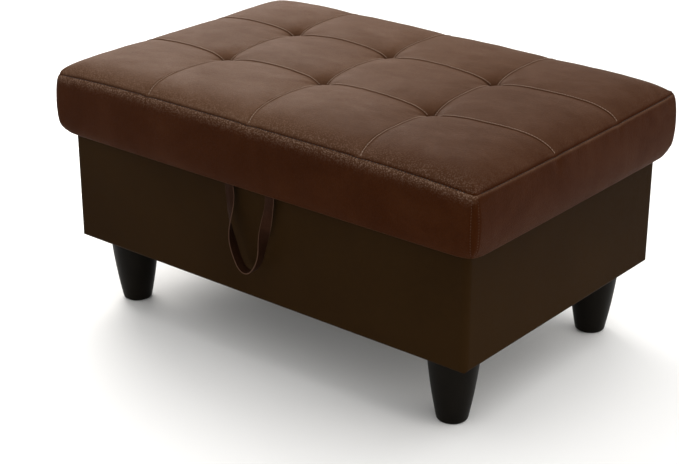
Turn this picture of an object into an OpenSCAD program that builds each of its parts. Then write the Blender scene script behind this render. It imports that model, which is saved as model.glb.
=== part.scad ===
// Storage ottoman: an upholstered box on four turned legs, with a tufted,
// hinged lid, two slotted lid stays and a cloth pull loop at the front.
// +X runs to the right along the long front face, +Y to the back, +Z up.
// The origin is the middle of the footprint, on the floor.

/* [Overall] */
// Width of the base box over its cover
body_w = 842; // [760:2:920]
// Depth of the base box over its cover
body_d = 546; // [500:2:600]
// Height of the base box, from its underside to its rim
body_h = 198; // [194:1:240]
// How far the lid stands out past the base at the front and back
lid_over = 16.6; // [14:0.2:24]
// How far the lid stands out past the base at the two ends
lid_over_end = 20.6; // [14:0.2:24]

/* [Legs] */
// Height of a leg
leg_h = 125; // [90:1:160]
// Diameter of a leg where it meets the base
leg_top_d = 87; // [70:1:90]
// Diameter of a leg at the floor
leg_foot_d = 50; // [40:1:56]
// Distance from the outside of the base to a leg's centre
leg_in = 67.5; // [60:0.5:90]

/* [Box] */
// Thickness of the plywood walls and bottom
wall_t = 15; // [12:1:18]
// Thickness of the padded cover on the walls
cover_t = 2.4; // [1.5:0.1:3]
// Corner radius of the covered box, seen from above
box_corner_r = 12; // [8:1:18]
// Thickness of the storage lining
liner_t = 1.2; // [0.8:0.1:1.6]

/* [Lid] */
// Height of the lid from its underside to the top of the highest puff
lid_h = 133; // [120:0.5:140]
// Depth of a tufted seam below the crown of the puffs
tuft_sink = 12.5; // [6:0.5:16]
// Distance between tufts along the width
tuft_pitch_x = 220; // [180:1:240]
// Distance between the two rows of tufts
tuft_pitch_y = 182; // [150:1:210]
// Thickness of the lid's fabric cover
fabric_t = 1.5; // [1:0.1:2]
// Thickness of the lid board
board_t = 12; // [9:1:15]

/* [Hinge and stays] */
// Gap between the rim and the lid, filled by the hinges
hinge_gap = 5; // [5:0.1:5.4]
// Length of one butt hinge
hinge_len = 90; // [70:2:110]
// Distance from the middle to each hinge
hinge_x = 270; // [200:5:310]
// Radius of the pivot rivet and of the stud in the stay's slot
stay_pin_r = 2.5; // [2:0.1:2.8]

/* [Pull loop] */
// Distance between the middles of the strap's two ends
loop_span = 88; // [70:2:100]
// Width of the strap
strap_w = 18; // [14:1:20]
// Thickness of the folded strap
strap_t = 2.4; // [1.6:0.2:2.8]
// How far the loop hangs below the lid
loop_drop = 145; // [110:1:148]

/* [Hidden] */
$fn = 64;
e = 0.05;      // the small gap left between parts that are pressed together
far = 2000;

bx = body_w / 2;
by = body_d / 2;
z0 = leg_h;                    // underside of the box
z_rim = z0 + body_h;           // top of the rim
z_lid = z_rim + hinge_gap;     // underside of the lid
z_top = z_lid + lid_h;         // top of the highest puff
z_seam = z_lid + 102;          // seam between the lid's top and its bands
lx = bx + lid_over_end;
ly = by + lid_over;
leg_x = bx - leg_in;
leg_y = by - leg_in;

// base layers
dust_t = 0.8;
z_fl = z0 + dust_t;                    // underside of the cover's turned-in edge
z_pan = z_fl + cover_t + e;            // underside of the panels
pan_x = bx - cover_t - e;              // outside of the panels
pan_y = by - cover_t - e;
in_x = pan_x - wall_t;                 // inside of the panels
in_y = pan_y - wall_t;
lin_x = in_x - 0.1;                    // outside of the lining
lin_y = in_y - 0.1;
free_x = lin_x - liner_t;              // inside of the lining
free_y = lin_y - liner_t;
z_bot = z_pan + wall_t;                // top of the bottom panel
z_pan_top = z_rim - cover_t - e;

// lid layers
z_board = z_lid + fabric_t + e;
z_board_top = z_board + board_t;
board_x = lx - 14.6;
board_y = ly - 14.6;
z_foam_top = z_seam;
lid_r = 14;                            // rounding of the lid's corners
lid_low_r = 7;                         // rounding of its lower edge
lid_top_r = 31;                        // rounding of the lid's top edges
lining_x = free_x - 0.65;
lining_y = free_y - 1;
lining_t = 0.8;

// tufts
tx = [-tuft_pitch_x, 0, tuft_pitch_x];
ty = [-tuft_pitch_y / 2, tuft_pitch_y / 2];

// hinge: the axis lies behind the box, half way up the gap
hin_y = by + 4.5;
hin_z = z_rim + hinge_gap / 2;
knuckle_r = 2.4;
hpin_r = 1.2;
leaf_t = 1.2;
leaf_y0 = hin_y - 22;
hscrew_y = hin_y - 15;

// stays: the rivet and the stud are equally far from the hinge axis, so the
// arm turns half as far as the lid does
ear_y = hin_y - 91;
ear_z = hin_z - 14;
stud_y = hin_y - 80.7;
stud_z = hin_z - 44.3;
arm_a = atan2(ear_y - stud_y, ear_z - stud_z);   // lean of the arm when closed
arm_x1 = free_x - 4.6;                 // outer face of the arm
arm_t = 2;
arm_x0 = arm_x1 - arm_t;
ear_x1 = arm_x0 - 0.3;
ear_x0 = ear_x1 - 2;
slot_0 = 29.4;
slot_1 = 150.5;
arm_len = 153;

// loop
loop_y = -by - 10.7;
loop_z = z_lid - 1.55 - strap_t / 2;   // just under the sewn ends
loop_root_r = strap_t / 2;

// ---------------------------------------------------------------- helpers

// rounded rectangle, half sizes hx and hy, made of true arcs
module round_rect(hx, hy, r) {
    square([2 * hx, 2 * (hy - r)], center = true);
    square([2 * (hx - r), 2 * hy], center = true);
    for (sx = [-1, 1], sy = [-1, 1])
        translate([sx * (hx - r), sy * (hy - r)]) circle(r = r);
}

// profile from z = a to z = b, half width h, with its own radii below and above
module edge_profile(h, a, b, ra, rb) {
    translate([-h, a + ra]) square([2 * h, b - a - ra - rb]);
    translate([-(h - ra), a]) square([2 * (h - ra), b - a - rb]);
    translate([-(h - rb), a + ra]) square([2 * (h - rb), b - a - ra]);
    for (s = [-1, 1]) {
        translate([s * (h - ra), a + ra]) circle(r = ra);
        translate([s * (h - rb), b - rb]) circle(r = rb);
    }
}

// block rounded in plan and along its long edges, inset by i on every face
module soft_block(hx, hy, a, b, rc, ra, rb, i = 0) {
    intersection() {
        translate([0, 0, a - 1])
            linear_extrude(b - a + 2) round_rect(hx - i, hy - i, rc - i);
        translate([0, far / 2, 0]) rotate([90, 0, 0])
            linear_extrude(far) edge_profile(hx - i, a + i, b - i, ra - i, rb - i);
        rotate([90, 0, 90]) translate([0, 0, -far / 2])
            linear_extrude(far) edge_profile(hy - i, a + i, b - i, ra - i, rb - i);
    }
}

module base_block(i = 0) {
    soft_block(bx, by, z_fl, z_rim, box_corner_r, 6, 8, i);
}

module lid_block(i = 0) {
    soft_block(lx, ly, z_lid, z_top + 0.5, lid_r, lid_low_r, lid_top_r, i);
}

module box_at(x0, x1, y0, y1, a, b) {
    translate([x0, y0, a]) cube([x1 - x0, y1 - y0, b - a]);
}

// cylinder along X between x0 and x1
module rod_x(x0, x1, y, z, r) {
    translate([x0, y, z]) rotate([0, 90, 0]) cylinder(h = x1 - x0, r = r);
}

module rod_z(x, y, a, b, r) {
    translate([x, y, a]) cylinder(h = b - a, r = r);
}

// radius of the arc that rises s over a half span h
function arc_r(h, s) = (h * h + s * s) / (2 * s);

// outline of a row of crowned strips between the cuts in c, crowned at z
module scallops(c, z, s) {
    n = len(c) - 1;
    translate([c[0], z - 60]) square([c[n] - c[0], 60 - s - 2]);
    for (k = [0:n - 1]) {
        h = (c[k + 1] - c[k]) / 2;
        r = arc_r(h, s);
        intersection() {
            translate([c[k], z - 50]) square([2 * h, 51]);
            translate([c[k] + h, z - r]) circle(r = r, $fn = 360);
        }
    }
}

// the puffed top of the lid, lowered by i: strips between the tufts, crowned
// across their width
module puffs(i = 0) {
    translate([0, far / 2, -i]) rotate([90, 0, 0]) linear_extrude(far)
        scallops([-lx - 1, tx[0], tx[1], tx[2], lx + 1], z_top, tuft_sink);
}

// positions that several parts share
module at_legs() {
    for (sx = [-1, 1], sy = [-1, 1])
        translate([sx * leg_x, sy * leg_y, 0]) children();
}

module at_tufts() {
    for (x = tx, y = ty) translate([x, y, 0]) children();
}

hscrews = [for (s = [-1, 1], k = [-1, 0, 1]) s * hinge_x + k * (hinge_len / 2 - 12)];

// ---------------------------------------------------------------- legs

leg_chord = sqrt(pow((leg_top_d - leg_foot_d) / 2, 2) + leg_h * leg_h);
leg_big_r = arc_r(leg_chord / 2, 2);
leg_nx = leg_h / leg_chord;
leg_nz = (leg_top_d - leg_foot_d) / 2 / leg_chord;

module leg_profile() {
    r = 5;
    intersection() {
        translate([0, r]) square([leg_top_d / 2, leg_h - r]);
        translate([(leg_top_d + leg_foot_d) / 4 - leg_nx * (leg_big_r - 2),
                   leg_h / 2 + leg_nz * (leg_big_r - 2)])
            circle(r = leg_big_r, $fn = 360);
    }
    square([leg_foot_d / 2 - r + 0.9, r + 0.2]);
    translate([leg_foot_d / 2 - r + 0.9, r]) intersection() {
        circle(r = r);
        translate([0, -r]) square([r, r + 0.2]);
    }
}

module leg() {
    color([0.07, 0.06, 0.045]) difference() {
        rotate_extrude($fn = 96) leg_profile();
        rod_z(0, 0, leg_h - 26, leg_h + 1, 4.06);
    }
}

module leg_front_left() { translate([-leg_x, -leg_y, 0]) leg(); }
module leg_front_right() { translate([leg_x, -leg_y, 0]) leg(); }
module leg_rear_left() { translate([-leg_x, leg_y, 0]) leg(); }
module leg_rear_right() { translate([leg_x, leg_y, 0]) leg(); }

module leg_bolts() {
    color("silver") at_legs() rod_z(0, 0, leg_h - 25, z_bot - 1.7, 4);
}

module leg_tnuts() {
    color("silver") at_legs() difference() {
        union() {
            rod_z(0, 0, z_bot - 12, z_bot - 1, 5.2);
            rod_z(0, 0, z_bot - 1.55, z_bot - 0.05, 11);
        }
        rod_z(0, 0, z_bot - 13, z_bot + 1, 4.06);
    }
}

// ---------------------------------------------------------------- box

wood = [0.72, 0.58, 0.4];
espresso = [0.145, 0.098, 0.063];
cloth_black = [0.05, 0.045, 0.045];

module hinge_holes_down(a, b) {
    for (x = hscrews) rod_z(x, hscrew_y, a, b, 1.6);
}

// screw positions of one box bracket: y and z
bscrews = [for (s = [-1, 1]) [stud_y, stud_z + s * 18]];
// screw positions of one lid ear: x and y
escrews = [for (s = [-1, 1]) [ear_x1 - 13, ear_y + s * 10]];

module wall_front() {
    intersection() {
        base_block(cover_t + e);
        box_at(-far, far, -by, -in_y, z_pan, z_pan_top);
    }
}

module base_front_panel() { color(wood) wall_front(); }

module base_rear_panel() {
    color(wood) difference() {
        mirror([0, 1, 0]) wall_front();
        hinge_holes_down(z_rim - 18, z_rim + 1);
    }
}

module side_panel() {
    difference() {
        intersection() {
            base_block(cover_t + e);
            box_at(in_x, bx, -in_y + e, in_y - e, z_pan, z_pan_top);
        }
        for (p = bscrews) rod_x(in_x - 1, in_x + 12, p[0], p[1], 1.6);
    }
}

module base_right_panel() { color(wood) side_panel(); }
module base_left_panel() { color(wood) mirror([1, 0, 0]) side_panel(); }

module bottom_panel() {
    color(wood) difference() {
        box_at(-in_x + e, in_x - e, -in_y + e, in_y - e, z_pan, z_bot);
        at_legs() {
            rod_z(0, 0, z_pan - 1, z_bot + 1, 5.3);
            rod_z(0, 0, z_bot - 1.6, z_bot + 1, 11.2);
        }
    }
}

module base_cover() {
    color(espresso) difference() {
        base_block(0);
        difference() {
            base_block(cover_t);
            // keeps the turned-in edges whole
            box_at(-far, far, -far, far, z_fl - 1, z_fl + cover_t);
            box_at(-far, far, -far, far, z_rim - cover_t, z_rim + 1);
        }
        box_at(-free_x, free_x, -free_y, free_y, z_rim - cover_t - 1, z_rim + 1);
        box_at(-(bx - 30), bx - 30, -(by - 30), by - 30, z_fl - 1, z_fl + cover_t + 1);
        hinge_holes_down(z_rim - cover_t - 1, z_rim + 1);
    }
}

module storage_liner() {
    color([0.16, 0.13, 0.11]) difference() {
        box_at(-lin_x, lin_x, -lin_y, lin_y, z_bot + e, z_rim - cover_t - e);
        box_at(-free_x, free_x, -free_y, free_y, z_bot + e + liner_t, z_rim);
        for (m = [0, 1]) mirror([m, 0, 0])
            for (p = bscrews) rod_x(free_x - 1, lin_x + 1, p[0], p[1], 1.6);
    }
}

module dust_cover() {
    color(cloth_black) difference() {
        box_at(-(bx - 16), bx - 16, -(by - 16), by - 16, z0, z0 + dust_t - e);
        at_legs() rod_z(0, 0, z0 - 1, z0 + 2, 5.3);
    }
}

// staple crowns, laid end to end along an edge
module crown(x, y, a) {
    translate([x, y, a]) cube([10, 0.9, 0.5], center = true);
}

module dust_cover_staples() {
    color("silver") {
        for (s = [-1, 1], k = [-5:5])
            crown(k * 62, s * (by - 20), z0 - 0.25);
        for (s = [-1, 1], k = [-3:3])
            translate([s * (bx - 20), k * 50, z0 - 0.25]) rotate([0, 0, 90]) crown(0, 0, 0);
    }
}

module rim_bumpers() {
    y = -(free_y + by - 8) / 2;
    x = (free_x + bx - 8) / 2;
    color([0.08, 0.08, 0.08]) {
        for (s = [-1, 1]) {
            rod_z(s * (bx - 90), y, z_rim, z_lid - 0.1, 4.6);
            rod_z(s * x, -by / 2, z_rim, z_lid - 0.1, 4.6);
        }
    }
}

// ---------------------------------------------------------------- hinges

steel = [0.62, 0.62, 0.64];
n_knuckles = 5;
kn_len = hinge_len / n_knuckles;

// knuckles k = first, first + 2, ... of one hinge, with their leaf
module hinge_leaf(first, zl) {
    difference() {
        union() {
            for (k = [first:2:n_knuckles - 1]) {
                a = -hinge_len / 2 + k * kn_len + 0.15;
                b = a + kn_len - 0.3;
                rod_x(a, b, hin_y, hin_z, knuckle_r);
                box_at(a, b, hin_y - knuckle_r - 0.8, hin_y - 1, zl, zl + leaf_t);
            }
            box_at(-hinge_len / 2, hinge_len / 2, leaf_y0, hin_y - knuckle_r - 0.7, zl, zl + leaf_t);
        }
        rod_x(-hinge_len, hinge_len, hin_y, hin_z, hpin_r + 0.05);
        for (k = [-1, 0, 1]) rod_z(k * (hinge_len / 2 - 12), hscrew_y, zl - 1, zl + leaf_t + 1, 1.6);
    }
}

module hinge_box_leaves() {
    color(steel) for (s = [-1, 1]) translate([s * hinge_x, 0, 0]) hinge_leaf(0, z_rim);
}

module hinge_lid_leaves() {
    color(steel) for (s = [-1, 1]) translate([s * hinge_x, 0, 0]) hinge_leaf(1, z_lid - leaf_t);
}

module hinge_pins() {
    color("silver") for (s = [-1, 1])
        rod_x(s * hinge_x - hinge_len / 2 - 1, s * hinge_x + hinge_len / 2 + 1, hin_y, hin_z, hpin_r);
}

module hinge_box_screws() {
    color("silver") for (x = hscrews) {
        rod_z(x, hscrew_y, z_rim - 17, z_rim + leaf_t + 0.4, 1.5);
        rod_z(x, hscrew_y, z_rim + leaf_t, z_rim + leaf_t + 0.8, 3);
    }
}

module hinge_lid_screws() {
    color("silver") for (x = hscrews) {
        rod_z(x, hscrew_y, z_lid - leaf_t - 0.4, z_board_top - 2, 1.5);
        rod_z(x, hscrew_y, z_lid - leaf_t - 0.8, z_lid - leaf_t, 3);
    }
}

// ---------------------------------------------------------------- lid

brown = [0.42, 0.32, 0.26];
brown_side = [0.26, 0.17, 0.11];

module lid_board() {
    color(wood) difference() {
        translate([0, 0, z_board]) linear_extrude(board_t) round_rect(board_x, board_y, 6);
        at_tufts() rod_z(0, 0, z_board - 1, z_board_top + 1, 2);
        hinge_holes_down(z_board - 1, z_board_top - 1.5);
        for (m = [0, 1]) mirror([m, 0, 0])
            for (p = escrews) rod_z(p[0], p[1], z_board - 1, z_board_top - 1.5, 1.6);
    }
}

foam_yellow = [0.93, 0.88, 0.7];

// slab that lies on the board
module lid_foam() {
    color(foam_yellow) difference() {
        intersection() {
            lid_block(fabric_t + e);
            box_at(-far, far, -far, far, z_board_top + e, z_foam_top);
        }
        at_tufts() rod_z(0, 0, z_board, z_foam_top + 1, 1.6);
    }
}

// strip glued round the edge of the board
module lid_foam_edges() {
    color(foam_yellow) difference() {
        intersection() {
            lid_block(fabric_t + e);
            box_at(-far, far, -far, far, z_board, z_board_top);
        }
        translate([0, 0, z_board - 1])
            linear_extrude(board_t + 2) round_rect(board_x + e, board_y + e, 6 + e);
    }
}

// the lid's top profile of half width h, inset by i, with its rounded edges cut
// in flats
module cut_edges(h, i) {
    r = lid_top_r - i;
    translate([0, z_top + 0.5 - lid_top_r])
        polygon([for (s = [-1, 1], k = s > 0 ? [4:-1:0] : [0:4])
                    [s * (h - lid_top_r + r * cos(22.5 * k)), r * sin(22.5 * k)],
                 [h - i, -20], [i - h, -20]]);
}

// one crowned strip of wadding between the cuts x0 and x1, cut back under the
// lid's rounded top edges and corners
module wadding(x0, x1) {
    i = fabric_t + e;
    r = arc_r((x1 - x0) / 2, tuft_sink);
    px = lx - i - e;
    py = ly - i - e;
    cx = lx - lid_r;
    cy = ly - lid_r;
    intersection() {
        translate([0, 0, z_foam_top + e]) linear_extrude(z_top - z_foam_top + 5)
            intersection() {
                translate([x0 + e / 2, -far / 2]) square([x1 - x0 - e, far]);
                polygon([[-px, -cy], [-cx, -py], [cx, -py], [px, -cy],
                         [px, cy], [cx, py], [-cx, py], [-px, cy]]);
            }
        translate([(x0 + x1) / 2, far / 2, z_top - i - r]) rotate([90, 0, 0])
            linear_extrude(far) circle(r = r, $fn = 360);
        rotate([90, 0, 90]) translate([0, 0, -far / 2])
            linear_extrude(far) cut_edges(ly, i + e);
        rotate([90, 0, 0]) translate([0, 0, -far / 2])
            linear_extrude(far) cut_edges(lx, i + e);
    }
}

// the ties run through this wadding, which closes round them
module lid_fibre_wrap() {
    color([0.96, 0.96, 0.94]) {
        wadding(-lx - 1, tx[0]);
        wadding(tx[0], tx[1]);
        wadding(tx[1], tx[2]);
        wadding(tx[2], lx + 1);
    }
}

module lid_cover_top() {
    color(brown) difference() {
        intersection() {
            lid_block(0);
            puffs(0);
            box_at(-far, far, -far, far, z_seam + e, z_top + 2);
        }
        intersection() {
            lid_block(fabric_t);
            puffs(fabric_t);
        }
    }
}

// part of the plan that belongs to one band, mitred at the corners
module front_wedge(hx, hy) {
    c = hx - hy;
    polygon([[0, c], [600, c - 600], [-600, c - 600]]);
}

module lid_ring() {
    difference() {
        intersection() {
            lid_block(0);
            box_at(-far, far, -far, far, z_lid - 1, z_seam);
        }
        difference() {
            lid_block(fabric_t);
            // keeps the turned-under edge whole
            box_at(-far, far, -far, far, z_lid - 1, z_lid + fabric_t);
        }
        box_at(-(lx - 41), lx - 41, -(ly - 41), ly - 41, z_lid - 1, z_lid + fabric_t + 1);
        hinge_holes_down(z_lid - 1, z_lid + fabric_t + 1);
    }
}

module band(a, hx, hy) {
    color(brown_side) intersection() {
        lid_ring();
        rotate([0, 0, a]) translate([0, -0.03, z_lid - 2])
            linear_extrude(z_seam - z_lid + 4) front_wedge(hx, hy);
    }
}

module lid_band_front() { band(0, lx, ly); }
module lid_band_rear() { band(180, lx, ly); }
module lid_band_right() { band(90, ly, lx); }
module lid_band_left() { band(-90, ly, lx); }

module lid_lining() {
    color(cloth_black) difference() {
        box_at(-lining_x, lining_x, -lining_y, lining_y, z_lid - lining_t, z_lid - e);
        for (m = [0, 1]) mirror([m, 0, 0])
            for (p = escrews) rod_z(p[0], p[1], z_lid - 2, z_lid + 1, 1.6);
    }
}

module lid_lining_staples() {
    a = z_lid - lining_t - 0.25;
    color("silver") {
        for (s = [-1, 1], k = [-6:6])
            crown(k * 58, s * (lining_y - 3), a);
        for (s = [-1, 1], k = [-4:3])
            translate([s * (lining_x - 3), k * 50 + 25, a]) rotate([0, 0, 90]) crown(0, 0, 0);
    }
}

module tuft_ties() {
    color([0.2, 0.15, 0.1]) at_tufts() rod_z(0, 0, z_board, z_top - tuft_sink - 4, 1);
}

module tuft_washers() {
    color("silver") at_tufts() rod_z(0, 0, z_lid + 0.2, z_board - e, 10);
}

// ---------------------------------------------------------------- stays

module stay_box_bracket() {
    color(steel) difference() {
        union() {
            box_at(free_x - 2.1, free_x - 0.1, stud_y - 13, stud_y + 13, stud_z - 25, stud_z + 25);
            rod_x(free_x - 17, free_x - 1, stud_y, stud_z, stay_pin_r);
        }
        for (p = bscrews) rod_x(free_x - 3, free_x + 1, p[0], p[1], 1.6);
    }
}

module stay_box_bracket_right() { stay_box_bracket(); }
module stay_box_bracket_left() { mirror([1, 0, 0]) stay_box_bracket(); }

module stay_box_screws() {
    color("silver") for (m = [0, 1]) mirror([m, 0, 0]) for (p = bscrews) {
        rod_x(free_x - 2.6, in_x + 11, p[0], p[1], 1.5);
        rod_x(free_x - 3, free_x - 2.1, p[0], p[1], 3);
    }
}

module stay_knobs() {
    color([0.06, 0.06, 0.06]) for (m = [0, 1]) mirror([m, 0, 0]) difference() {
        union() {
            rod_x(ear_x0 - 6, arm_x0 - 0.5, stud_y, stud_z, 8);
            rod_x(ear_x0 - 9, ear_x0 - 5, stud_y, stud_z, 6.5);
        }
        rod_x(free_x - 17.3, free_x, stud_y, stud_z, stay_pin_r + 0.06);
    }
}

module stay_lid_ear() {
    color(steel) difference() {
        union() {
            rod_x(ear_x0, ear_x1, ear_y, ear_z, 7);
            box_at(ear_x0, ear_x1, ear_y - 7, ear_y + 7, ear_z, z_lid - lining_t);
            box_at(ear_x0 - 22, ear_x1, ear_y - 16, ear_y + 16, z_lid - lining_t - 1.6, z_lid - lining_t);
        }
        rod_x(ear_x0 - 1, ear_x1 + 1, ear_y, ear_z, stay_pin_r + 0.05);
        for (p = escrews) rod_z(p[0], p[1], z_lid - 5, z_lid + 1, 1.6);
    }
}

module stay_lid_ear_right() { stay_lid_ear(); }
module stay_lid_ear_left() { mirror([1, 0, 0]) stay_lid_ear(); }

module stay_ear_screws() {
    a = z_lid - lining_t - 1.6;
    color("silver") for (m = [0, 1]) mirror([m, 0, 0]) for (p = escrews) {
        rod_z(p[0], p[1], a - 0.4, z_board_top - 2, 1.5);
        rod_z(p[0], p[1], a - 0.9, a, 3);
    }
}

module stay_rivets() {
    color("silver") for (m = [0, 1]) mirror([m, 0, 0]) {
        rod_x(ear_x0 - 0.4, arm_x1 + 0.4, ear_y, ear_z, stay_pin_r);
        rod_x(arm_x1 + 0.3, arm_x1 + 1.3, ear_y, ear_z, 4);
        rod_x(ear_x0 - 1.2, ear_x0 - 0.05, ear_y, ear_z, 4);
    }
}

// flat bar, drawn hanging straight down from the rivet and then leaned back
module stay_arm() {
    color(steel) translate([arm_x0, ear_y, ear_z]) rotate([abs(arm_a), 0, 0])
        difference() {
            union() {
                rod_x(0, arm_t, 0, 0, 7);
                rod_x(0, arm_t, 0, -arm_len, 7);
                box_at(0, arm_t, -7, 7, -arm_len, 0);
            }
            rod_x(-1, arm_t + 1, 0, 0, stay_pin_r + 0.08);
            rod_x(-1, arm_t + 1, 0, -slot_0, stay_pin_r + 0.1);
            rod_x(-1, arm_t + 1, 0, -slot_1, stay_pin_r + 0.1);
            box_at(-1, arm_t + 1, -stay_pin_r - 0.1, stay_pin_r + 0.1, -slot_1, -slot_0);
        }
}

module stay_arm_right() { stay_arm(); }
module stay_arm_left() { mirror([1, 0, 0]) stay_arm(); }

// ---------------------------------------------------------------- pull loop

// flat ends of the strap, fastened under the lid's front edge
module loop_anchor_tabs() {
    color(brown_side) for (s = [-1, 1])
        box_at(s * loop_span / 2 - strap_w / 2, s * loop_span / 2 + strap_w / 2,
               loop_y - loop_root_r, loop_y + 27, z_lid - 1.3, z_lid - e);
}

// half of the loop's middle line, from the root at t = 0 to the lowest point at t = 1
lp = [[-loop_span / 2, loop_z], [-loop_span * 0.45, loop_z - 55],
      [-loop_span * 0.37, loop_z - loop_drop + 0.5], [0, loop_z - loop_drop + 0.5]];
function bez(t) = pow(1 - t, 3) * lp[0] + 3 * t * pow(1 - t, 2) * lp[1]
                + 3 * t * t * (1 - t) * lp[2] + t * t * t * lp[3];
function bez_d(t) = let (d = 3 * pow(1 - t, 2) * (lp[1] - lp[0])
                + 6 * t * (1 - t) * (lp[2] - lp[1]) + 3 * t * t * (lp[3] - lp[2])) d / norm(d);
function ease(t) = t <= 0 ? 0 : t >= 1 ? 1 : t * t * (3 - 2 * t);
// turn of the strap about its own length: flat to the front at the root,
// edge to the front around the bottom
function turn(t) = 90 * ease((t - 0.1) / 0.5);
// one ring of eight points round the strap at t, on the side s = -1 or 1
function ring(t, s) =
    let (p = bez(t), d = bez_d(t), a = turn(t),
         y = loop_y + loop_root_r - loop_root_r * cos(a) - (strap_w / 2) * sin(a),
         n = [-d[1], d[0]],                        // across the strap, in the plane of the loop
         w = [n[0] * cos(a), -sin(a), n[1] * cos(a)],
         h = [n[0] * sin(a), cos(a), n[1] * sin(a)])
    [for (q = [[-1, -0.5], [-0.97, -1], [0.97, -1], [1, -0.5], [1, 0.5], [0.97, 1], [-0.97, 1], [-1, 0.5]])
        let (v = w * q[0] * strap_w / 2 + h * q[1] * strap_t / 2)
        [-s * (p[0] + v[0]), y + v[1], p[1] + v[2]]];

loop_n = 22;

module loop_half(s) {
    pts = [for (k = [0:loop_n]) for (q = ring(k / loop_n, s)) q];
    faces = concat(
        [[for (i = [0:7]) i]],
        [for (k = [0:loop_n - 1], i = [0:7])
            [k * 8 + i, (k + 1) * 8 + i, (k + 1) * 8 + (i + 1) % 8]],
        [for (k = [0:loop_n - 1], i = [0:7])
            [k * 8 + i, (k + 1) * 8 + (i + 1) % 8, k * 8 + (i + 1) % 8]],
        [[for (i = [7:-1:0]) loop_n * 8 + i]]);
    if (s > 0) polyhedron(points = pts, faces = faces);
    else polyhedron(points = pts, faces = [for (f = faces) [for (i = [len(f) - 1:-1:0]) f[i]]]);
}

module pull_loop() {
    color([0.2, 0.12, 0.08]) union() {
        loop_half(1);
        loop_half(-1);
        for (s = [-1, 1])
            rod_x(s * loop_span / 2 - strap_w / 2, s * loop_span / 2 + strap_w / 2, loop_y, loop_z, loop_root_r);
    }
}

leg_front_left();
leg_front_right();
leg_rear_left();
leg_rear_right();
leg_bolts();
leg_tnuts();
base_front_panel();
base_rear_panel();
base_left_panel();
base_right_panel();
bottom_panel();
base_cover();
storage_liner();
dust_cover();
dust_cover_staples();
rim_bumpers();
hinge_box_leaves();
hinge_pins();
hinge_box_screws();
stay_box_bracket_left();
stay_box_bracket_right();
stay_box_screws();
stay_knobs();
lid_board();
lid_foam();
lid_foam_edges();
lid_fibre_wrap();
lid_cover_top();
lid_band_front();
lid_band_rear();
lid_band_left();
lid_band_right();
lid_lining();
lid_lining_staples();
tuft_ties();
tuft_washers();
hinge_lid_leaves();
hinge_lid_screws();
stay_lid_ear_left();
stay_lid_ear_right();
stay_ear_screws();
stay_rivets();
loop_anchor_tabs();
stay_arm_left();
stay_arm_right();
pull_loop();
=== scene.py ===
import math

import bmesh
import bpy
import numpy as np
from mathutils import Matrix, Vector


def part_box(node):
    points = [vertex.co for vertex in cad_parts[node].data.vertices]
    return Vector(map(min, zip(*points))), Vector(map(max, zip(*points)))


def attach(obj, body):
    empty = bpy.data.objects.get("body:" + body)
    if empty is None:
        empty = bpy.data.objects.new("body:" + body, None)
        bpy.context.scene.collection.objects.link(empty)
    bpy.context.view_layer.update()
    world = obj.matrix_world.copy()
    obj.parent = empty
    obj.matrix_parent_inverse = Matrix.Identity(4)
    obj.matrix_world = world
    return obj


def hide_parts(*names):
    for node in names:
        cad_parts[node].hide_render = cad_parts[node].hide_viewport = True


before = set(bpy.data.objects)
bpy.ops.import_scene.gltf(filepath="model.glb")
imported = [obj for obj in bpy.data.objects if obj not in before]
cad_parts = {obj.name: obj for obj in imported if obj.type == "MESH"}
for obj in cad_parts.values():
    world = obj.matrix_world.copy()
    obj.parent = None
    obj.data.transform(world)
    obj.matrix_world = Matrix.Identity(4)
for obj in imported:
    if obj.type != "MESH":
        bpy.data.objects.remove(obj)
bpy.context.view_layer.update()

scene = bpy.context.scene

# ------------------------------------------------------------------ camera
AZ, EL = math.radians(39.39), math.radians(23.376)
cam_data = bpy.data.cameras.new("camera")
cam_data.sensor_width = 36.0
cam_data.lens = 36.0 * 1694.38 / 679.0
cam_data.clip_end = 60
cam = bpy.data.objects.new("camera", cam_data)
back = Vector((math.sin(AZ) * math.cos(EL), -math.cos(AZ) * math.cos(EL), math.sin(EL)))
cam.location = (1.7061, -2.1338, 1.3350)
cam.rotation_euler = (-back).to_track_quat("-Z", "Y").to_euler()
scene.collection.objects.link(cam)
scene.camera = cam
scene.view_settings.view_transform = "Standard"
scene.view_settings.look = "None"

# ------------------------------------------------------------------ sizes, from the frame
mm = 0.001
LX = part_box("lid_band_right")[1].x
LY = -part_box("lid_band_front")[0].y
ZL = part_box("lid_band_front")[0].z
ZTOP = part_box("lid_cover_top")[1].z
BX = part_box("base_cover")[1].x
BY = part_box("base_cover")[1].y
ZB0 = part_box("base_cover")[0].z
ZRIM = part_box("base_cover")[1].z
TX = [-0.220, 0.0, 0.220]
TY = [-0.091, 0.091]


# ------------------------------------------------------------------ helpers
def lattice_noise(x, y, scale, seed, octaves=1):
    """Smooth seeded value noise in about -1..1 at the points x, y (metres), with features of size scale."""
    total = np.zeros(np.broadcast(x, y).shape)
    amp, norm = 1.0, 0.0
    for o in range(octaves):
        rng = np.random.RandomState(seed + 17 * o)
        n = 257
        table = rng.uniform(-1, 1, (n, n))
        fx, fy = np.asarray(x) / scale + 71.3, np.asarray(y) / scale + 43.7
        ix, iy = np.floor(fx).astype(int), np.floor(fy).astype(int)
        tx, ty = fx - ix, fy - iy
        tx, ty = tx * tx * tx * (tx * (6 * tx - 15) + 10), ty * ty * ty * (ty * (6 * ty - 15) + 10)
        a = table[ix % n, iy % n]
        b = table[(ix + 1) % n, iy % n]
        c = table[ix % n, (iy + 1) % n]
        d = table[(ix + 1) % n, (iy + 1) % n]
        total += amp * (a * (1 - tx) * (1 - ty) + b * tx * (1 - ty) + c * (1 - tx) * ty + d * tx * ty)
        norm += amp
        amp *= 0.5
        scale *= 0.5
    return total / norm


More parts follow.
